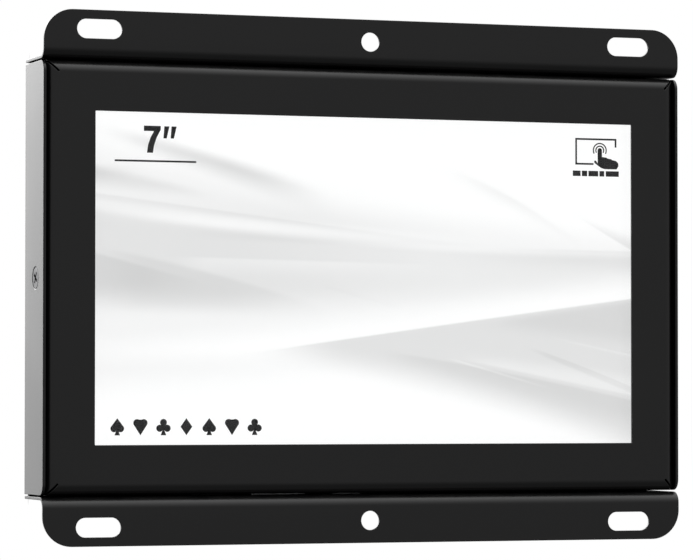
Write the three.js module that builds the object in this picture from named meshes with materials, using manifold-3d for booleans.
// A seven-inch open-frame touch display of the kind built into a gaming cabinet.
//
// Two folded steel trays nest together. The rear chassis has a back panel, two side flanges, and a
// top and a bottom plate whose front edges turn outwards into slotted mounting ears. The front
// bezel frames the screen and has all four edges bent back inside the chassis. Between them lie
// the touch glass, the display module with its backlight, and the electronics, with five spring
// buttons reaching out through the back panel.
//
// Millimetres, +Z up. X runs across the screen, and the viewer stands on the -Y side. The origin
// is the centre of the screen on the plane of the ears' and the bezel's front faces.

import * as THREE from 'three';
import Module from 'manifold-3d';
import { mergeVertices } from 'three/addons/utils/BufferGeometryUtils.js';

const wasm = await Module();
wasm.setup();

// ---------------------------------------------------------------- driving dimensions

const CASE_WIDTH = 182.4;        // across the side flanges, and across the ears
const CASE_DEPTH = 19.4;         // front face to the outside of the back panel
const EAR_SPAN = 141.2;          // top of the upper ear to the foot of the lower one
const PLATE_SPAN = 116.8;        // across the outsides of the top and bottom plates
const SHEET = 0.8;               // steel sheet of both trays

const FRONT_BEND = 3.0;          // outer radius of the bezel's edges and of the ears' roots
const REAR_BEND = 1.2;           // outer radius round the back panel
const FLANGE_CORNER = 3.0;       // rounding of a side flange's front corners
const FLANGE_REAR_CORNER = 1.0;  // rounding of a side flange's rear corners
const FLANGE_SETBACK = 0.2;      // side flanges' front edges behind the front face
const RELIEF = 0.1;              // how far each rear corner relief runs past its bend
const EAR_CORNER = 8.0;

const SLOT_PITCH = 152.0;        // between the slots' centres, across
const SLOT_SPAN = 131.2;         // between the slots' centres, up and down
const SLOT_LENGTH = 12.3;
const SLOT_WIDTH = 5.15;
const HOLE_SPAN = 129.1;         // between the two middle holes
const HOLE_DIAMETER = 5.15;

const SEAM = 0.43;               // open seam under each plate, above flanges and bezel
const NEST_GAP = 0.3;            // bezel's side flange inside the chassis's
const BEZEL_DEPTH = 11.0;        // how far the bezel's flanges run back
const MITRE_LENGTH = 2.8;        // corner slit, along either side
const MITRE_HALF_WIDTH = 0.35;

const WINDOW_WIDTH = 154.1;
const WINDOW_HEIGHT = 88.0;

const PANEL_WIDTH = 165.0;       // touch glass and display module, outside
const PANEL_HEIGHT = 100.0;
const VIEW_MARGIN = 2.0;         // inner frames stand this far outside the window
const LAYER_GAP = 0.1;           // between the layers of the stack
const GASKET = 0.3;
const TOUCH_GLASS = 1.8;
const PANEL_GASKET = 0.5;
const FRAME_SHEET = 0.3;         // display module's own front frame
const FRAME_SKIRT = 3.4;         // its sides
const CELL = 1.0;                // liquid crystal cell with its polarisers
const CELL_INSET = 1.4;          // cell's edge inside the module's outside
const FILM = 0.15;
const FILM_GAP = 0.05;
const LIGHT_GUIDE = 1.4;
const LIGHT_STRIP = 1.2;         // height that the row of lamps takes under the light guide
const HOUSING_BACK = 0.7;
const HOUSING_WALL = 0.7;

const BOARD = 1.6;               // main board's thickness
const BOARD_WIDTH = 122.0;
const BOARD_HEIGHT = 76.0;
const BOARD_BOTTOM = -55.4;      // its lower edge
const BOARD_HOLE_INSET = 4.0;
const STANDOFF = 6.0;            // standoffs between the back panel and the main board
const STANDOFF_ACROSS = 5.0;     // across their flats
const SPIGOT = 4.2;              // a standoff's end, clinched flush in the back panel
const SMALL_GAP = 0.1;           // a part to the board that it is soldered to

const SCREW_THREAD = 2.7;        // M3, core of the thread
const SCREW_BORE = 3.3;          // bore that it passes
const SIDE_SCREW_Y = 8.0;        // side screws behind the front face
const SIDE_SCREW_HEAD = 5.7;
const SIDE_SCREW_LENGTH = 5.8;
const SIDE_HEAD_CLEARANCE = 0.2; // round a side screw's head, in its countersink
const HEAD_CLEARANCE = 0.3;      // round the other sunk parts
const CROSS_SPAN = 3.3;          // cross recess, tip to tip
const CROSS_WIDTH = 0.75;
const CROSS_DEPTH = 1.0;
const CROSS_TURN = 0.56;         // side screws' recess, in radians from upright
const NUT_DIAMETER = 6.0;
const NUT_HEIGHT = 2.2;

const BRACKET_MARGIN = 0.6;      // bracket's metal round the nut
const BRACKET_REACH = 3.4;       // its foot behind the display module
const BRACKET_LENGTH = 96.0;

const BUTTONS = 5;
const BUTTON_PITCH = 12.0;
const BUTTON_X = 77.5;           // column of buttons
const BUTTON_DIAMETER = 5.6;
const BUTTON_PROUD = 1.3;        // past the back panel
const BUTTON_COLLAR = 1.2;       // collar wider than the cap, each side
const BUTTON_COLLAR_THICKNESS = 0.6;
const BUTTON_TRAVEL = 0.3;
const BUTTON_CLEARANCE = 0.35;   // cap to its hole, each side
const KEY_BOARD = 1.0;
const KEY_BOARD_WIDTH = 9.0;
const KEY_POST = 3.2;
const KEY_SWITCH = 6.0;          // square base of a switch
const KEY_SWITCH_HEIGHT = 3.1;

const VENT_LENGTH = 14.0;
const VENT_WIDTH = 2.2;
const VENT_PITCH_X = 18.0;
const VENT_PITCH_Z = 4.4;
const VENT_COLUMNS = 6;
const VENT_ROWS = 5;
const VENT_Z = -4.0;             // middle of the ventilated patch, over the main board

const LABEL = { width: 40.0, height: 24.0, x: -57.0, z: 32.0, thickness: 0.2, corner: 1.5 };
const EARTH = { x: -78, z: -44, clear: 3.6, washer: 7.2, head: 5.8 };   // earth screw
const LAMP_STEP = 9.0;           // status lamp above the upper button
const LAMP_DIAMETER = 3.0;
const LAMP_PROUD = 0.5;

const BOARD_SCREW = { diameter: 5.2, height: 1.0, length: 4.0 };
const SOCKET_CLEARANCE = 0.3;    // round a socket, in the bottom plate
const SOCKET_SETBACK = 0.1;      // a socket's mouth inside the bottom plate's outside

// Sockets on the main board's lower edge: their centre, then width across, height off the board
// and length up the board.
const SOCKETS = {
  power: { x: -42, width: 9.0, height: 5.7, length: 10.5 },
  video: { x: -22, width: 15.2, height: 5.7, length: 11.5 },
  touch: { x: -2, width: 9.2, height: 3.4, length: 8.0 },
};

// Parts on the back of the main board: centre, size and thickness.
const SCALER_CHIP = { x: 4, z: -22, size: 16, thickness: 1.6, legs: 8 };
const POWER_CHIP = { x: -38, z: -32, size: 6, thickness: 1.4, legs: 3 };
const INDUCTOR = { x: -48, z: -24, size: 8, corner: 2.2, thickness: 4.2 };
const CAPACITORS = { left: [-50, -36], right: [-30, -24] };
const CAPACITOR = { base: 6.6, baseThickness: 0.8, radius: 3.1, height: 5.4 };
const RIBBON_SOCKET = { x: 6, width: 34, height: 4.5, thickness: 0.7, inset: 8 };

const RIBBON = { width: 30, thickness: 0.3, bend: 0.7, top: 40 };
const TAIL = { width: 10, thickness: 0.2 };
const TOUCH_BOARD = { x: 46, z: 36, width: 34, height: 12, thickness: 1.0, pad: 1.2, chip: 8 };
const LEAD = 1.2;                // diameter of the two thin leads

const BEND_STEPS = 8;            // facets in a quarter turn
const ROUND = 24;                // facets in a full round
const THROUGH = 2;               // how far a cutter runs past what it cuts

// ---------------------------------------------------------------- places that follow

const HALF_W = CASE_WIDTH / 2;
const PLATE_Z = PLATE_SPAN / 2;                       // outside of the top plate
const FLANGE_Z = PLATE_Z - SHEET - SEAM;              // top of side flanges and bezel
const BEZEL_X = HALF_W - SHEET - NEST_GAP;            // outside of the bezel's side flange
const PANEL_INNER_Y = CASE_DEPTH - SHEET;             // inside of the back panel
const VIEW_HALF_W = WINDOW_WIDTH / 2 + VIEW_MARGIN;
const VIEW_HALF_H = WINDOW_HEIGHT / 2 + VIEW_MARGIN;

// The stack behind the bezel, front faces in order.
const GASKET_Y = SHEET + LAYER_GAP;
const GLASS_Y = GASKET_Y + GASKET + LAYER_GAP;
const PANEL_GASKET_Y = GLASS_Y + TOUCH_GLASS + LAYER_GAP;
const FRAME_Y = PANEL_GASKET_Y + PANEL_GASKET + LAYER_GAP;
const CELL_Y = FRAME_Y + FRAME_SHEET + LAYER_GAP;
const PRISM_Y = CELL_Y + CELL + LAYER_GAP;
const DIFFUSER_Y = PRISM_Y + FILM + FILM_GAP;
const GUIDE_Y = DIFFUSER_Y + FILM + FILM_GAP;
const REFLECTOR_Y = GUIDE_Y + LIGHT_GUIDE + FILM_GAP;
const HOUSING_Y = REFLECTOR_Y + FILM + LAYER_GAP;     // inside of the housing's back
const MODULE_BACK_Y = HOUSING_Y + HOUSING_BACK;

// The electronics, which hang from the back panel.
const STANDOFF_Y = PANEL_INNER_Y - LAYER_GAP - STANDOFF;
const BOARD_Y = STANDOFF_Y - LAYER_GAP - BOARD;       // front of the main board
const SOLDER_Y = BOARD_Y + BOARD + SMALL_GAP;         // front of what is soldered on its back
const BOARD_TOP = BOARD_BOTTOM + BOARD_HEIGHT;
const BUTTON_COLLAR_Y = PANEL_INNER_Y - LAYER_GAP - BUTTON_COLLAR_THICKNESS;
const SWITCH_Y = BUTTON_COLLAR_Y - BUTTON_TRAVEL - LAYER_GAP - KEY_SWITCH_HEIGHT;
const KEY_BOARD_Y = SWITCH_Y - SMALL_GAP - KEY_BOARD;
const HALF_COLUMN = ((BUTTONS - 1) / 2) * BUTTON_PITCH;   // middle of the column to its end buttons
const LAMP_Z = HALF_COLUMN + LAMP_STEP;
const SOCKET_FOOT = -PLATE_Z + SOCKET_SETBACK;
const GUIDE_INSET = CELL_INSET + 0.6;

// ---------------------------------------------------------------- solids

// Turns a closed three.js geometry into a solid that can be joined and cut.
function solid(geometry) {
  const plain = geometry.index ? geometry.toNonIndexed() : geometry.clone();
  plain.deleteAttribute('normal');
  plain.deleteAttribute('uv');
  const merged = mergeVertices(plain, 1e-4);
  return new wasm.Manifold(new wasm.Mesh({
    numProp: 3,
    vertProperties: new Float32Array(merged.attributes.position.array),
    triVerts: new Uint32Array(merged.index.array),
  }));
}

// Turns a solid back into a three.js geometry.
function geometryOf(body) {
  const out = body.getMesh();
  const geometry = new THREE.BufferGeometry();
  geometry.setAttribute('position', new THREE.BufferAttribute(out.vertProperties, 3));
  geometry.setIndex(new THREE.BufferAttribute(out.triVerts, 1));
  return geometry;
}

const joined = (...bodies) => bodies.reduce((sum, body) => sum.add(body));
const cutAll = (body, cutters) => cutters.reduce((rest, cutter) => rest.subtract(cutter), body);
const mirrored = (values) => values.flatMap((value) => [-value, value]);

// A block between two corners.
function block(x0, x1, y0, y1, z0, z1) {
  const box = new THREE.BoxGeometry(x1 - x0, y1 - y0, z1 - z0);
  box.translate((x0 + x1) / 2, (y0 + y1) / 2, (z0 + z1) / 2);
  return solid(box);
}

// A cone or cylinder from y0 to y1 with its axis along Y.
function roundY(x, z, y0, y1, r0, r1 = r0, sides = ROUND) {
  const geometry = new THREE.CylinderGeometry(r1, r0, y1 - y0, sides);
  geometry.translate(x, (y0 + y1) / 2, z);
  return solid(geometry);
}

// A cone or cylinder from x0 to x1 with its axis along X.
function roundX(y, z, x0, x1, r0, r1 = r0, sides = ROUND) {
  const geometry = new THREE.CylinderGeometry(r1, r0, x1 - x0, sides);
  geometry.rotateZ(-Math.PI / 2);
  geometry.translate((x0 + x1) / 2, y, z);
  return solid(geometry);
}

// A cylinder from z0 to z1 with its axis along Z.
function roundZ(x, y, z0, z1, radius, sides = ROUND) {
  const geometry = new THREE.CylinderGeometry(radius, radius, z1 - z0, sides);
  geometry.rotateX(Math.PI / 2);
  geometry.translate(x, y, (z0 + z1) / 2);
  return solid(geometry);
}

// An outline drawn in X and Z, made solid from y0 to y1.
function plateXZ(shape, y0, y1, steps = BEND_STEPS) {
  const depth = y1 - y0;
  const geometry = new THREE.ExtrudeGeometry(shape, { depth, bevelEnabled: false, curveSegments: steps });
  geometry.rotateX(Math.PI / 2);
  geometry.translate(0, y1, 0);
  return solid(geometry);
}

// An outline drawn in Y and Z, made solid from x0 to x1.
function plateYZ(shape, x0, x1, steps = BEND_STEPS) {
  const depth = x1 - x0;
  const geometry = new THREE.ExtrudeGeometry(shape, { depth, bevelEnabled: false, curveSegments: steps });
  geometry.applyMatrix4(new THREE.Matrix4().makeBasis(
    new THREE.Vector3(0, 1, 0), new THREE.Vector3(0, 0, 1), new THREE.Vector3(1, 0, 0)));
  geometry.translate(x0, 0, 0);
  return solid(geometry);
}

// An outline drawn in X and Y, made solid from z0 to z1.
function plateXY(shape, z0, z1, steps = BEND_STEPS) {
  const depth = z1 - z0;
  const geometry = new THREE.ExtrudeGeometry(shape, { depth, bevelEnabled: false, curveSegments: steps });
  geometry.translate(0, 0, z0);
  return solid(geometry);
}

// A rectangle with round corners, centred on (cx, cy).
function roundedRect(cx, cy, width, height, radius) {
  const [x0, x1, y0, y1] = [cx - width / 2, cx + width / 2, cy - height / 2, cy + height / 2];
  const shape = new THREE.Shape();
  shape.moveTo(x1, y0 + radius);
  shape.lineTo(x1, y1 - radius);
  shape.absarc(x1 - radius, y1 - radius, radius, 0, Math.PI / 2);
  shape.lineTo(x0 + radius, y1);
  shape.absarc(x0 + radius, y1 - radius, radius, Math.PI / 2, Math.PI);
  shape.lineTo(x0, y0 + radius);
  shape.absarc(x0 + radius, y0 + radius, radius, Math.PI, 1.5 * Math.PI);
  shape.lineTo(x1 - radius, y0);
  shape.absarc(x1 - radius, y0 + radius, radius, 1.5 * Math.PI, 2 * Math.PI);
  return shape;
}

// A slot with round ends that runs along X, cut through from y0 to y1.
function slotCutter(x, z, length, width, y0, y1, steps = 10) {
  const half = (length - width) / 2;
  const shape = new THREE.Shape();
  shape.absarc(x + half, z, width / 2, -Math.PI / 2, Math.PI / 2);
  shape.absarc(x - half, z, width / 2, Math.PI / 2, 1.5 * Math.PI);
  return plateXZ(shape, y0, y1, steps);
}

// The section of a folded sheet: its middle line through the given corners, each corner but the
// first and last bent to the given radius, measured on the middle line.
function foldedSection(corners, bends, thickness) {
  const points = corners.map(([a, b]) => new THREE.Vector2(a, b));
  const left = [];
  const right = [];
  const place = (point, normal) => {
    left.push(point.clone().addScaledVector(normal, thickness / 2));
    right.push(point.clone().addScaledVector(normal, -thickness / 2));
  };
  const normalOf = (direction) => new THREE.Vector2(-direction.y, direction.x);
  const directionAt = (i) => points[i + 1].clone().sub(points[i]).normalize();
  place(points[0], normalOf(directionAt(0)));
  for (let i = 1; i < points.length - 1; i += 1) {
    const before = directionAt(i - 1);
    const after = directionAt(i);
    const turn = Math.atan2(before.cross(after), before.dot(after));
    const radius = bends[i - 1];
    const start = points[i].clone().addScaledVector(before, -radius * Math.tan(Math.abs(turn) / 2));
    const centre = start.clone().addScaledVector(normalOf(before), Math.sign(turn) * radius);
    for (let k = 0; k <= BEND_STEPS; k += 1) {
      const angle = (turn * k) / BEND_STEPS;
      const normal = normalOf(before).rotateAround(new THREE.Vector2(), angle);
      place(start.clone().rotateAround(centre, angle), normal);
    }
  }
  const last = points.length - 1;
  place(points[last], normalOf(directionAt(last - 1)));
  return new THREE.Shape([...left, ...right.reverse()]);
}

// A flat frame with a rectangular opening.
function flatFrame(halfW, halfH, openHalfW, openHalfH, y0, thickness) {
  const y1 = y0 + thickness;
  return block(-halfW, halfW, y0, y1, -halfH, halfH)
    .subtract(block(-openHalfW, openHalfW, y0 - 1, y1 + 1, -openHalfH, openHalfH));
}

// ---------------------------------------------------------------- the two trays

// A blank rating plate stuck to the back panel.
function rearLabel() {
  const outline = roundedRect(LABEL.x, LABEL.z, LABEL.width, LABEL.height, LABEL.corner);
  const face = CASE_DEPTH + LAYER_GAP;
  return plateXZ(outline, face, face + LABEL.thickness, 3);
}

// Section of a tray, bent back at both ends of the span.
function traySection(half, frontY, depth, bend) {
  const edge = half - SHEET / 2;
  const face = frontY + SHEET / 2;
  return { edge, face, bend: bend - SHEET / 2, depth };
}

function frontBezel() {
  const across = traySection(BEZEL_X, 0, BEZEL_DEPTH, FRONT_BEND);
  const upright = traySection(FLANGE_Z, 0, BEZEL_DEPTH, FRONT_BEND);
  const section = ({ edge, face, bend, depth }) => foldedSection(
    [[-edge, depth], [-edge, face], [edge, face], [edge, depth]], [bend, bend], SHEET);
  const sides = plateXY(section(across), -FLANGE_Z, FLANGE_Z);
  const swap = ({ edge, face, bend, depth }) => foldedSection(
    [[depth, -edge], [face, -edge], [face, edge], [depth, edge]], [bend, bend], SHEET);
  const ends = plateYZ(swap(upright), -BEZEL_X, BEZEL_X);

  // Each corner is slit along its mitre, and the face runs on inside the slits.
  const reach = MITRE_LENGTH;
  const slit = MITRE_HALF_WIDTH;
  const past = THROUGH;
  const outline = (points) => new THREE.Shape(points.map(([x, z]) => new THREE.Vector2(x, z)));
  const sideKeep = plateXZ(outline([
    [BEZEL_X + past, FLANGE_Z - slit + past], [BEZEL_X - reach, FLANGE_Z - reach - slit],
    [-BEZEL_X + reach, FLANGE_Z - reach - slit], [-BEZEL_X - past, FLANGE_Z - slit + past],
    [-BEZEL_X - past, -FLANGE_Z + slit - past], [-BEZEL_X + reach, -FLANGE_Z + reach + slit],
    [BEZEL_X - reach, -FLANGE_Z + reach + slit], [BEZEL_X + past, -FLANGE_Z + slit - past],
  ]), -past, BEZEL_DEPTH + past);
  const endKeep = plateXZ(outline([
    [BEZEL_X - slit + past, FLANGE_Z + past], [BEZEL_X - reach - slit, FLANGE_Z - reach],
    [BEZEL_X - reach - slit, -FLANGE_Z + reach], [BEZEL_X - slit + past, -FLANGE_Z - past],
    [-BEZEL_X + slit - past, -FLANGE_Z - past], [-BEZEL_X + reach + slit, -FLANGE_Z + reach],
    [-BEZEL_X + reach + slit, FLANGE_Z - reach], [-BEZEL_X + slit - past, FLANGE_Z + past],
  ]), -past, BEZEL_DEPTH + past);
  const tray = joined(sides.intersect(sideKeep), ends.intersect(endKeep));

  const window = block(-WINDOW_WIDTH / 2, WINDOW_WIDTH / 2, -THROUGH, SHEET + THROUGH,
    -WINDOW_HEIGHT / 2, WINDOW_HEIGHT / 2);
  const screwHoles = roundX(SIDE_SCREW_Y, 0, -BEZEL_X - THROUGH, BEZEL_X + THROUGH,
    SIDE_SCREW_HEAD / 2 - SHEET);
  // The sockets' openings are cut here too, for a bezel deep enough to reach them.
  return cutAll(tray, [window, screwHoles, ...socketCutters()]);
}

// Centres of the ventilation slots in the back panel.
function ventPlaces() {
  const places = [];
  for (let row = 0; row < VENT_ROWS; row += 1) {
    for (let column = 0; column < VENT_COLUMNS; column += 1) {
      places.push([(column - (VENT_COLUMNS - 1) / 2) * VENT_PITCH_X,
        VENT_Z + (row - (VENT_ROWS - 1) / 2) * VENT_PITCH_Z]);
    }
  }
  return places;
}

const buttonPlaces = Array.from({ length: BUTTONS }, (_, i) => ((BUTTONS - 1) / 2 - i) * BUTTON_PITCH);
const standoffPlaces = mirrored([BOARD_WIDTH / 2 - BOARD_HOLE_INSET]).flatMap((x) => [
  [x, BOARD_BOTTOM + BOARD_HOLE_INSET], [x, BOARD_TOP - BOARD_HOLE_INSET]]);

function rearChassis() {
  const plateMid = PLATE_Z - SHEET / 2;
  const backMid = CASE_DEPTH - SHEET / 2;
  const earMid = SHEET / 2;
  const earBend = FRONT_BEND - SHEET / 2;
  const rearBend = REAR_BEND - SHEET / 2;
  const earZ = EAR_SPAN / 2;
  const hat = plateYZ(foldedSection(
    [[earMid, earZ], [earMid, plateMid], [backMid, plateMid], [backMid, -plateMid],
      [earMid, -plateMid], [earMid, -earZ]],
    [earBend, rearBend, rearBend, earBend], SHEET), -HALF_W, HALF_W);
  const earOutline = plateXZ(roundedRect(0, 0, CASE_WIDTH, EAR_SPAN, EAR_CORNER),
    -THROUGH, CASE_DEPTH + THROUGH);

  // Outside the side bends the back panel and the plates' rear bends are cut away.
  const notchX = HALF_W - REAR_BEND - RELIEF;
  const notchY = CASE_DEPTH - REAR_BEND;
  const past = THROUGH;
  const notches = [
    block(notchX, HALF_W + past, notchY, CASE_DEPTH + past, -PLATE_Z - past, PLATE_Z + past),
    block(-HALF_W - past, -notchX, notchY, CASE_DEPTH + past, -PLATE_Z - past, PLATE_Z + past),
  ];

  const sideMid = HALF_W - SHEET / 2;
  const sideSheet = plateXY(foldedSection(
    [[-sideMid, FLANGE_SETBACK], [-sideMid, backMid], [sideMid, backMid], [sideMid, FLANGE_SETBACK]],
    [rearBend, rearBend], SHEET), -FLANGE_Z, FLANGE_Z);
  const sideOutline = plateYZ(flangeOutline(), -HALF_W - THROUGH, HALF_W + THROUGH);
  const body = joined(cutAll(hat.intersect(earOutline), notches), sideSheet.intersect(sideOutline));
  return cutAll(body, [...earCutters(), ...screwCutters(), ...panelCutters(), ...socketCutters()]);
}

// Side view of a side flange, with its four corners rounded.
function flangeOutline() {
  const front = FLANGE_SETBACK;
  const rear = CASE_DEPTH;
  const big = FLANGE_CORNER;
  const small = FLANGE_REAR_CORNER;
  const top = FLANGE_Z;
  const shape = new THREE.Shape();
  shape.absarc(rear - small, top - small, small, 0, Math.PI / 2);
  shape.absarc(front + big, top - big, big, Math.PI / 2, Math.PI);
  shape.absarc(front + big, -top + big, big, Math.PI, 1.5 * Math.PI);
  shape.absarc(rear - small, -top + small, small, 1.5 * Math.PI, 2 * Math.PI);
  return shape;
}

function earCutters() {
  const cutters = [];
  for (const z of mirrored([SLOT_SPAN / 2])) {
    for (const x of mirrored([SLOT_PITCH / 2])) {
      cutters.push(slotCutter(x, z, SLOT_LENGTH, SLOT_WIDTH, -THROUGH, SHEET + THROUGH));
    }
  }
  for (const z of mirrored([HOLE_SPAN / 2])) {
    cutters.push(roundY(0, z, -THROUGH, SHEET + THROUGH, HOLE_DIAMETER / 2));
  }
  return cutters;
}

// Countersinks for the two side screws.
function screwCutters() {
  const wide = SIDE_SCREW_HEAD / 2 + SIDE_HEAD_CLEARANCE;
  const past = 0.5;
  return [
    roundX(SIDE_SCREW_Y, 0, HALF_W - SHEET - past, HALF_W + past, wide - SHEET - past, wide + past),
    roundX(SIDE_SCREW_Y, 0, -HALF_W - past, -HALF_W + SHEET + past, wide + past, wide - SHEET - past),
  ];
}

function panelCutters() {
  const y0 = PANEL_INNER_Y - THROUGH / 2;
  const y1 = CASE_DEPTH + THROUGH;
  return [
    ...ventPlaces().map(([x, z]) => slotCutter(x, z, VENT_LENGTH, VENT_WIDTH, y0, y1, 4)),
    ...buttonPlaces.map((z) => roundY(BUTTON_X, z, y0, y1, BUTTON_DIAMETER / 2 + BUTTON_CLEARANCE)),
    roundY(BUTTON_X, LAMP_Z, y0, y1, LAMP_DIAMETER / 2 + HEAD_CLEARANCE, undefined, 24),
    roundY(EARTH.x, EARTH.z, y0, y1, EARTH.clear / 2, undefined, 24),
    ...standoffPlaces.map(([x, z]) => roundY(x, z, y0, y1, SPIGOT / 2 + HEAD_CLEARANCE, undefined, 16)),
  ];
}

// Openings for the sockets, through the bottom plate and as far as the bezel's bottom flange.
function socketCutters() {
  const gap = SOCKET_CLEARANCE;
  return Object.values(SOCKETS).map(({ x, width, height }) => block(
    x - width / 2 - gap, x + width / 2 + gap, SOLDER_Y - gap, SOLDER_Y + height + gap,
    -PLATE_Z - THROUGH, -FLANGE_Z + SHEET + THROUGH / 2));
}

// ---------------------------------------------------------------- glass and display module

function plainLayer(inset, y0, thickness) {
  const halfW = PANEL_WIDTH / 2 - inset;
  const halfH = PANEL_HEIGHT / 2 - inset;
  return block(-halfW, halfW, y0, y0 + thickness, -halfH, halfH);
}

const frameGasket = (y0, thickness) => flatFrame(
  PANEL_WIDTH / 2, PANEL_HEIGHT / 2, VIEW_HALF_W, VIEW_HALF_H, y0, thickness);

// The module's pressed front frame: a rim round the view and a skirt down all four sides.
function moduleFrame() {
  const halfW = PANEL_WIDTH / 2;
  const halfH = PANEL_HEIGHT / 2;
  const inner = FRAME_SHEET;
  const rim = flatFrame(halfW, halfH, VIEW_HALF_W, VIEW_HALF_H, FRAME_Y, FRAME_SHEET);
  const skirt = flatFrame(halfW, halfH, halfW - inner, halfH - inner, FRAME_Y, FRAME_SKIRT);
  return joined(rim, skirt);
}

// The plastic housing: a back with a rim that the cell, films and light guide lie in. Its back is
// recessed wherever a board screw's head would come too close.
function moduleHousing() {
  const halfW = PANEL_WIDTH / 2 - FRAME_SHEET - LAYER_GAP;
  const halfH = PANEL_HEIGHT / 2 - FRAME_SHEET - LAYER_GAP;
  const wall = HOUSING_WALL;
  const rimY = CELL_Y;
  const outer = block(-halfW, halfW, rimY, MODULE_BACK_Y, -halfH, halfH);
  const hollow = block(-halfW + wall, halfW - wall, rimY - 1, HOUSING_Y, -halfH + wall, halfH - wall);
  const [recessHalfW, recessInset] = [12, 18];
  const recesses = mirrored([PANEL_WIDTH / 4]).map((x) => block(x - recessHalfW, x + recessHalfW,
    MODULE_BACK_Y - HOUSING_BACK / 2, MODULE_BACK_Y + 1, -halfH + recessInset, halfH - recessInset));
  const headFront = BOARD_Y - LAYER_GAP - BOARD_SCREW.height - HEAD_CLEARANCE;
  const pockets = standoffPlaces.map(([x, z]) => roundY(x, z, headFront, BOARD_Y,
    BOARD_SCREW.diameter / 2 + HEAD_CLEARANCE));
  return cutAll(outer.subtract(hollow), [...recesses, ...pockets]);
}

function lightGuide() {
  const halfW = PANEL_WIDTH / 2 - GUIDE_INSET;
  const halfH = PANEL_HEIGHT / 2 - GUIDE_INSET;
  return block(-halfW, halfW, GUIDE_Y, GUIDE_Y + LIGHT_GUIDE, -halfH + LIGHT_STRIP, halfH);
}

// A row of side-firing lamps on a flexible strip under the light guide.
function ledStrip() {
  const halfW = PANEL_WIDTH / 2 - GUIDE_INSET;
  const foot = -PANEL_HEIGHT / 2 + GUIDE_INSET;
  const lamps = 18;
  const endGap = 3;
  const lampHalfW = 1.3;
  const pitch = 2 * (halfW - endGap) / (lamps - 1);
  let strip = block(-halfW, halfW, GUIDE_Y + 0.1, GUIDE_Y + LIGHT_GUIDE, foot, foot + 0.3);
  for (let i = 0; i < lamps; i += 1) {
    const x = -halfW + endGap + i * pitch;
    strip = strip.add(block(x - lampHalfW, x + lampHalfW, GUIDE_Y + 0.3, GUIDE_Y + 1.2,
      foot + 0.2, foot + 0.9));
  }
  return strip;
}

// An angle that clamps the module forward. Its foot is notched at mid-length, where the leg runs
// on as a tab behind the side screw's nut.
function clampBracket(side) {
  const legX = BEZEL_X - SHEET - NEST_GAP - SHEET / 2;
  const legY = SIDE_SCREW_Y - NUT_DIAMETER / 2 - BRACKET_MARGIN;
  const tabY = SIDE_SCREW_Y + NUT_DIAMETER / 2 + BRACKET_MARGIN;
  const footY = MODULE_BACK_Y + LAYER_GAP + SHEET / 2;
  const footX = PANEL_WIDTH / 2 - BRACKET_REACH;
  const tab = NUT_DIAMETER / 2 + BRACKET_MARGIN;
  const notch = tab + NEST_GAP;
  const section = foldedSection([[legX, legY], [legX, footY], [footX, footY]], [SHEET], SHEET);
  const angle = plateXY(section, -BRACKET_LENGTH / 2, BRACKET_LENGTH / 2)
    .subtract(block(footX - 1, legX + SHEET, footY - 2 * SHEET, footY + SHEET, -notch, notch))
    .add(block(legX - SHEET / 2, legX + SHEET / 2, legY, tabY, -tab, tab))
    .subtract(roundX(SIDE_SCREW_Y, 0, legX - SHEET, legX + SHEET, SCREW_BORE / 2));
  return side > 0 ? angle : angle.mirror([1, 0, 0]);
}

// ---------------------------------------------------------------- fasteners

// A turned cross recess in a head that faces along X, with its end at xTip: two crossed blocks.
function crossX(xTip, direction, y, z) {
  const x0 = Math.min(xTip + direction * 0.5, xTip - direction * CROSS_DEPTH);
  const x1 = Math.max(xTip + direction * 0.5, xTip - direction * CROSS_DEPTH);
  const arm = (acrossY, acrossZ) => {
    const box = new THREE.BoxGeometry(x1 - x0, acrossY, acrossZ);
    box.rotateX(CROSS_TURN);
    box.translate((x0 + x1) / 2, y, z);
    return solid(box);
  };
  return joined(arm(CROSS_SPAN, CROSS_WIDTH), arm(CROSS_WIDTH, CROSS_SPAN));
}

// The same in a head that faces along Y.
function crossY(yTip, direction, x, z, span) {
  const y0 = Math.min(yTip + direction * 0.5, yTip - direction * CROSS_DEPTH);
  const y1 = Math.max(yTip + direction * 0.5, yTip - direction * CROSS_DEPTH);
  const [long, wide] = [span / 2, CROSS_WIDTH / 2];
  return joined(block(x - long, x + long, y0, y1, z - wide, z + wide),
    block(x - wide, x + wide, y0, y1, z - long, z + long));
}

function sideScrew(side) {
  const tip = side * (HALF_W - 0.05);
  const headEnd = tip - side * (SIDE_SCREW_HEAD - SCREW_THREAD) / 2;
  const foot = tip - side * SIDE_SCREW_LENGTH;
  const span = (a, b, ra, rb) => (a < b
    ? roundX(SIDE_SCREW_Y, 0, a, b, ra, rb) : roundX(SIDE_SCREW_Y, 0, b, a, rb, ra));
  const head = span(headEnd, tip, SCREW_THREAD / 2, SIDE_SCREW_HEAD / 2);
  const shank = span(foot, headEnd + side * 0.1, SCREW_THREAD / 2, SCREW_THREAD / 2);
  return joined(head, shank).subtract(crossX(tip, side, SIDE_SCREW_Y, 0));
}

function sideNut(side) {
  const outer = BEZEL_X - 2 * (SHEET + NEST_GAP);
  const [near, far] = [side * (outer - NEST_GAP), side * (outer - NEST_GAP - NUT_HEIGHT)];
  const [x0, x1] = [Math.min(near, far), Math.max(near, far)];
  return roundX(SIDE_SCREW_Y, 0, x0, x1, NUT_DIAMETER / 2, NUT_DIAMETER / 2, 6)
    .subtract(roundX(SIDE_SCREW_Y, 0, x0 - 1, x1 + 1, SCREW_BORE / 2));
}

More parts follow.
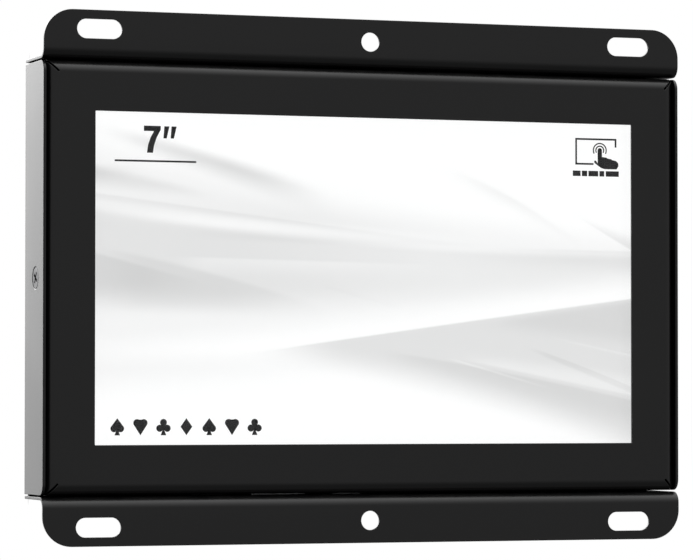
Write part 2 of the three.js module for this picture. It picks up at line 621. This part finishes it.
function standoff(x, z) {
  const radius = STANDOFF_ACROSS / 2 / Math.cos(Math.PI / 6);
  const spigot = roundY(x, z, STANDOFF_Y + STANDOFF - 0.1, CASE_DEPTH - 0.05, SPIGOT / 2, undefined, 16);
  return roundY(x, z, STANDOFF_Y, STANDOFF_Y + STANDOFF, radius, radius, 6)
    .add(spigot)
    .subtract(roundY(x, z, STANDOFF_Y - 1, STANDOFF_Y + STANDOFF - 1, SCREW_BORE / 2));
}

function boardScrew(x, z) {
  const { diameter, height, length } = BOARD_SCREW;
  const under = BOARD_Y - LAYER_GAP;
  const head = roundY(x, z, under - height, under, diameter / 2 - 0.4, diameter / 2);
  const shank = roundY(x, z, under - 0.1, under + length, SCREW_THREAD / 2);
  return joined(head, shank).subtract(crossY(under - height, -1, x, z, diameter / 2));
}

// The earth screw stands on the outside of the back panel with a washer under its head.
function earthScrew() {
  const face = CASE_DEPTH + LAYER_GAP;
  const tip = face + 2.2;
  const washer = roundY(EARTH.x, EARTH.z, face, face + 0.5, EARTH.washer / 2);
  const head = roundY(EARTH.x, EARTH.z, face + 0.4, tip, EARTH.head / 2, EARTH.head / 2 - 0.6);
  const shank = roundY(EARTH.x, EARTH.z, face - 4, face + 0.2, SCREW_THREAD / 2);
  return joined(washer, head, shank).subtract(crossY(tip, 1, EARTH.x, EARTH.z, EARTH.head / 2));
}

// ---------------------------------------------------------------- electronics

function mainBoard() {
  const halfW = BOARD_WIDTH / 2;
  const board = block(-halfW, halfW, BOARD_Y, BOARD_Y + BOARD, BOARD_BOTTOM, BOARD_TOP);
  const holes = standoffPlaces.map(([x, z]) => roundY(x, z, BOARD_Y - 1, BOARD_Y + BOARD + 1,
    SCREW_BORE / 2));
  return cutAll(board, holes);
}

// A part soldered flat on the back of the main board.
function onBoard(x, z, width, height, thickness) {
  return block(x - width / 2, x + width / 2, SOLDER_Y, SOLDER_Y + thickness, z - height / 2, z + height / 2);
}

// A square chip with a row of legs along each side.
function leggedChip({ x, z, size, thickness, legs }) {
  let chip = onBoard(x, z, size, size, thickness);
  const pitch = (size - 3) / (legs - 1);
  for (let i = 0; i < legs; i += 1) {
    const along = -size / 2 + 1.5 + i * pitch;
    chip = chip.add(onBoard(x + along, z, pitch / 2, size + 2, thickness / 4));
    chip = chip.add(onBoard(x, z + along, size + 2, pitch / 2, thickness / 4));
  }
  return chip;
}

function inductor({ x, z, size, corner, thickness }) {
  const top = SOLDER_Y + thickness;
  const body = plateXZ(roundedRect(x, z, size, size, corner), SOLDER_Y, top, 4);
  return body.subtract(roundY(x, z, top - 0.3, top + 1, size * 0.3, undefined, 20));
}

function capacitor([x, z]) {
  const { base, baseThickness, radius, height } = CAPACITOR;
  return joined(onBoard(x, z, base, base, baseThickness),
    roundY(x, z, SOLDER_Y + baseThickness - 0.1, SOLDER_Y + height, radius, undefined, 24));
}

// A metal-shelled socket that opens downwards through the bottom plate.
function socketShell({ x, width, height, length }, wall) {
  const foot = SOCKET_FOOT;
  const y0 = SOLDER_Y;
  const shell = block(x - width / 2, x + width / 2, y0, y0 + height, foot, foot + length);
  const mouth = block(x - width / 2 + wall, x + width / 2 - wall, y0 + wall, y0 + height - wall,
    foot - 1, foot + length - 2);
  return shell.subtract(mouth);
}

function videoSocket() {
  const { x, height, length } = SOCKETS.video;
  const mid = SOLDER_Y + height / 2 - 0.5;
  const foot = SOCKET_FOOT + 1.5;
  const tongue = block(x - 5.6, x + 5.6, mid - 0.5, mid + 0.5, foot, foot + length - 2.5);
  return joined(socketShell(SOCKETS.video, 0.5), tongue);
}

function touchSocket() {
  const { x, width, height, length } = SOCKETS.touch;
  const foot = SOCKET_FOOT;
  const y = SOLDER_Y + height / 2;
  const outside = plateXY(roundedRect(x, y, width, height, height / 2 - 0.05), foot, foot + length, 6);
  const inside = plateXY(roundedRect(x, y, width - 0.7, height - 0.7, (height - 0.7) / 2 - 0.05),
    foot - 1, foot + length - 1.5, 6);
  const tongue = block(x - 3.3, x + 3.3, y - 0.35, y + 0.35, foot + 1, foot + length - 1);
  return joined(outside.subtract(inside), tongue);
}

function powerSocket() {
  const { x, width, height, length } = SOCKETS.power;
  const foot = SOCKET_FOOT;
  const y = SOLDER_Y + height / 2;
  const body = block(x - width / 2, x + width / 2, SOLDER_Y, SOLDER_Y + height, foot, foot + length);
  const bore = roundZ(x, y, foot - 1, foot + length - 2, 2.1, 24);
  return joined(body.subtract(bore), roundZ(x, y, foot + 0.8, foot + length - 1, 0.6, 12));
}

// A flat ribbon bent along a route in Y and Z.
function ribbon(x, width, route, bend, thickness) {
  const bends = route.slice(2).map(() => bend);
  return plateYZ(foldedSection(route, bends, thickness), x - width / 2, x + width / 2);
}

// A thin lead along a smooth route, as a tube of eight sides.
function lead(points, diameter, steps) {
  const path = new THREE.CatmullRomCurve3(points.map(([x, y, z]) => new THREE.Vector3(x, y, z)));
  const ring = new THREE.Shape();
  ring.absarc(0, 0, diameter / 2, 0, 2 * Math.PI);
  return solid(new THREE.ExtrudeGeometry(ring, { extrudePath: path, steps, curveSegments: 4 }));
}

// ---------------------------------------------------------------- buttons

function keyBoard() {
  const top = LAMP_Z + 5;
  const foot = -HALF_COLUMN - 5;
  return block(BUTTON_X - KEY_BOARD_WIDTH / 2, BUTTON_X + KEY_BOARD_WIDTH / 2,
    KEY_BOARD_Y, KEY_BOARD_Y + KEY_BOARD, foot, top);
}

// A post that carries the key board off the back panel.
function keyPost(z) {
  const y0 = KEY_BOARD_Y + KEY_BOARD + SMALL_GAP;
  return roundY(BUTTON_X, z, y0, PANEL_INNER_Y - LAYER_GAP, KEY_POST / 2, undefined, 16);
}

function keySwitch(z) {
  const half = KEY_SWITCH / 2;
  return plateXZ(roundedRect(BUTTON_X, z, 2 * half, 2 * half, 0.6),
    SWITCH_Y, SWITCH_Y + KEY_SWITCH_HEIGHT - 0.4, 3)
    .add(roundY(BUTTON_X, z, SWITCH_Y + 1, SWITCH_Y + KEY_SWITCH_HEIGHT, 1.75, undefined, 20));
}

// A button cap: a collar inside the panel and a round cap with a chamfered, dished end.
function buttonCap(z) {
  const tip = CASE_DEPTH + BUTTON_PROUD;
  const radius = BUTTON_DIAMETER / 2;
  const collar = radius + BUTTON_COLLAR;
  const y0 = BUTTON_COLLAR_Y;
  const y1 = y0 + BUTTON_COLLAR_THICKNESS;
  const chamfer = 0.4;
  const dish = 0.25;
  const profile = [[0, y0], [collar, y0], [collar, y1], [radius, y1], [radius, tip - chamfer],
    [radius - chamfer, tip], [radius * 0.62, tip], [radius * 0.4, tip - dish], [0, tip - dish]];
  const lathe = new THREE.LatheGeometry(profile.map(([r, y]) => new THREE.Vector2(r, y)), ROUND);
  lathe.translate(BUTTON_X, 0, z);
  return solid(lathe);
}

function statusLamp() {
  const radius = LAMP_DIAMETER / 2;
  const y0 = KEY_BOARD_Y + KEY_BOARD + SMALL_GAP;
  const tip = CASE_DEPTH + LAMP_PROUD;
  const profile = [[0, y0], [radius + 0.4, y0], [radius + 0.4, y0 + 1], [radius, y0 + 1],
    [radius, tip - 0.5], [radius * 0.7, tip - 0.15], [0, tip]];
  const lathe = new THREE.LatheGeometry(profile.map(([r, y]) => new THREE.Vector2(r, y)), 24);
  lathe.translate(BUTTON_X, 0, LAMP_Z);
  return solid(lathe);
}

// ---------------------------------------------------------------- finishes and assembly

const finish = (color, roughness, metalness = 0, extra = {}) => new THREE.MeshStandardMaterial({
  color, roughness, metalness, ...extra });

const FINISH = {
  blackPaint: finish(0x141414, 0.38),
  blackZinc: finish(0x1a1a1c, 0.35, 0.8),
  zinc: finish(0xb9bcc0, 0.35, 1),
  steel: finish(0xa9adb2, 0.3, 1),
  glass: finish(0xf4f6f6, 0.05, 0, { transparent: true, opacity: 0.3 }),
  screen: finish(0xf2f2f2, 0.2),
  film: finish(0xf6f7f8, 0.3),
  foam: finish(0x101010, 0.95),
  whitePlastic: finish(0xe6e6e2, 0.5),
  blackPlastic: finish(0x161616, 0.45),
  greenBoard: finish(0x0f4a2a, 0.45),
  chip: finish(0x202124, 0.55),
  ferrite: finish(0x3a3a3c, 0.6),
  aluminiumCan: finish(0xc9ccd0, 0.3, 1),
  ribbon: finish(0xdedccf, 0.5),
  amberRibbon: finish(0xb2641a, 0.35),
  brass: finish(0xc9a24a, 0.35, 1),
  label: finish(0xd8dadb, 0.4),
  lamp: finish(0x9fd8a0, 0.2),
  lead: finish(0x1d1d1f, 0.5),
};

const display = new THREE.Group();

function add(group, name, body, material) {
  const mesh = new THREE.Mesh(geometryOf(body), material);
  mesh.name = name;
  group.add(mesh);
}

function section() {
  const group = new THREE.Group();
  display.add(group);
  return group;
}

const casing = section();
add(casing, 'front_bezel', frontBezel(), FINISH.blackPaint);
add(casing, 'rear_chassis', rearChassis(), FINISH.blackPaint);
add(casing, 'rear_label', rearLabel(), FINISH.label);

const stack = section();
add(stack, 'bezel_gasket', frameGasket(GASKET_Y, GASKET), FINISH.foam);
add(stack, 'touch_glass', plainLayer(0, GLASS_Y, TOUCH_GLASS), FINISH.glass);
add(stack, 'panel_gasket', frameGasket(PANEL_GASKET_Y, PANEL_GASKET), FINISH.foam);
add(stack, 'lcd_front_frame', moduleFrame(), FINISH.steel);
add(stack, 'lcd_cell', plainLayer(CELL_INSET, CELL_Y, CELL), FINISH.screen);
add(stack, 'prism_film', plainLayer(GUIDE_INSET, PRISM_Y, FILM), FINISH.film);
add(stack, 'diffuser_film', plainLayer(GUIDE_INSET, DIFFUSER_Y, FILM), FINISH.film);
add(stack, 'light_guide', lightGuide(), FINISH.film);
add(stack, 'reflector_sheet', plainLayer(GUIDE_INSET, REFLECTOR_Y, FILM), FINISH.film);
add(stack, 'led_strip', ledStrip(), FINISH.whitePlastic);
add(stack, 'lcd_housing', moduleHousing(), FINISH.whitePlastic);
add(stack, 'clamp_bracket_left', clampBracket(-1), FINISH.zinc);
add(stack, 'clamp_bracket_right', clampBracket(1), FINISH.zinc);

const fasteners = section();
for (const [side, name] of [[-1, 'left'], [1, 'right']]) {
  add(fasteners, `side_screw_${name}`, sideScrew(side), FINISH.blackZinc);
  add(fasteners, `side_nut_${name}`, sideNut(side), FINISH.zinc);
}
standoffPlaces.forEach(([x, z], i) => {
  add(fasteners, `standoff_${i + 1}`, standoff(x, z), FINISH.brass);
  add(fasteners, `board_screw_${i + 1}`, boardScrew(x, z), FINISH.zinc);
});
add(fasteners, 'earth_screw', earthScrew(), FINISH.brass);

const electronics = section();
add(electronics, 'main_board', mainBoard(), FINISH.greenBoard);
add(electronics, 'scaler_chip', leggedChip(SCALER_CHIP), FINISH.chip);
add(electronics, 'power_chip', leggedChip(POWER_CHIP), FINISH.chip);
add(electronics, 'inductor', inductor(INDUCTOR), FINISH.ferrite);
add(electronics, 'capacitor_left', capacitor(CAPACITORS.left), FINISH.aluminiumCan);
add(electronics, 'capacitor_right', capacitor(CAPACITORS.right), FINISH.aluminiumCan);
add(electronics, 'power_socket', powerSocket(), FINISH.blackPlastic);
add(electronics, 'video_socket', videoSocket(), FINISH.steel);
add(electronics, 'touch_socket', touchSocket(), FINISH.steel);

// The module's ribbon turns over the main board's top edge into a socket on its back.
const ribbonFront = MODULE_BACK_Y + 0.4;
const ribbonBack = SOLDER_Y + 1.0;
const ribbonTurn = BOARD_TOP + 3;
const ribbonSocketZ = BOARD_TOP - RIBBON_SOCKET.inset;
add(electronics, 'ribbon_socket', onBoard(RIBBON_SOCKET.x, ribbonSocketZ, RIBBON_SOCKET.width,
  RIBBON_SOCKET.height, RIBBON_SOCKET.thickness), FINISH.whitePlastic);
add(electronics, 'lcd_ribbon', ribbon(RIBBON_SOCKET.x, RIBBON.width, [[ribbonFront, RIBBON.top],
  [ribbonFront, ribbonTurn], [ribbonBack, ribbonTurn], [ribbonBack, ribbonSocketZ]],
RIBBON.bend, RIBBON.thickness), FINISH.ribbon);

// The touch controller's board, with its chip on the back.
function touchBoard() {
  const { x, z, width, height, thickness, pad, chip } = TOUCH_BOARD;
  const y0 = MODULE_BACK_Y + 2 * LAYER_GAP + pad;
  const y1 = y0 + thickness;
  return joined(block(x - width / 2, x + width / 2, y0, y1, z - height / 2, z + height / 2),
    block(x - chip / 2, x + chip / 2, y1 - 0.1, y1 + 1, z - chip / 2, z + chip / 2));
}

// The foam pad that sticks it to the back of the display module.
function touchBoardPad() {
  const { x, z, width, height, pad } = TOUCH_BOARD;
  const y0 = MODULE_BACK_Y + LAYER_GAP;
  return block(x - width / 2 + 1, x + width / 2 - 1, y0, y0 + pad, z - height / 2 + 1, z + height / 2 - 4);
}

add(electronics, 'touch_board', touchBoard(), FINISH.greenBoard);
add(electronics, 'touch_board_pad', touchBoardPad(), FINISH.foam);
const glassMid = GLASS_Y + TOUCH_GLASS / 2;
const tailTop = PANEL_HEIGHT / 2 + 2.6;
const tailBack = MODULE_BACK_Y + 0.7;
const tailEnd = TOUCH_BOARD.z + TOUCH_BOARD.height / 2 - 3;
add(electronics, 'touch_tail', ribbon(TOUCH_BOARD.x, TAIL.width, [
  [glassMid, PANEL_HEIGHT / 2 + LAYER_GAP], [glassMid, tailTop], [tailBack, tailTop],
  [tailBack, tailEnd]], RIBBON.bend, TAIL.thickness), FINISH.amberRibbon);

const leadY = MODULE_BACK_Y + 1.2;
const boardEdge = BOARD_WIDTH / 2;
add(electronics, 'backlight_lead', lead([[-72, leadY, -30], [-70, leadY + 0.4, -18], [-67, leadY + 2, -6],
  [-66, SOLDER_Y + 1.4, 4], [-60, SOLDER_Y + 1.6, 8], [-52, SOLDER_Y + 1.2, 8]], LEAD, 16), FINISH.lead);
const keyLeadY = KEY_BOARD_Y + KEY_BOARD + SMALL_GAP + LEAD / 2;
add(electronics, 'key_lead', lead([[BUTTON_X - 3.4, keyLeadY, -6], [BUTTON_X - 7, keyLeadY, -6.6],
  [boardEdge + 5, SOLDER_Y + 1.5, -8.6], [boardEdge - 3, SOLDER_Y + 1.2, -9]], LEAD, 12), FINISH.lead);

const keys = section();
add(keys, 'key_board', keyBoard(), FINISH.greenBoard);
add(keys, 'status_lamp', statusLamp(), FINISH.lamp);
add(keys, 'key_post_upper', keyPost(1.5 * BUTTON_PITCH), FINISH.zinc);
add(keys, 'key_post_lower', keyPost(-1.5 * BUTTON_PITCH), FINISH.zinc);
buttonPlaces.forEach((z, i) => {
  add(keys, `key_switch_${i + 1}`, keySwitch(z), FINISH.blackPlastic);
  add(keys, `menu_button_${i + 1}`, buttonCap(z), FINISH.blackPlastic);
});

export default display;
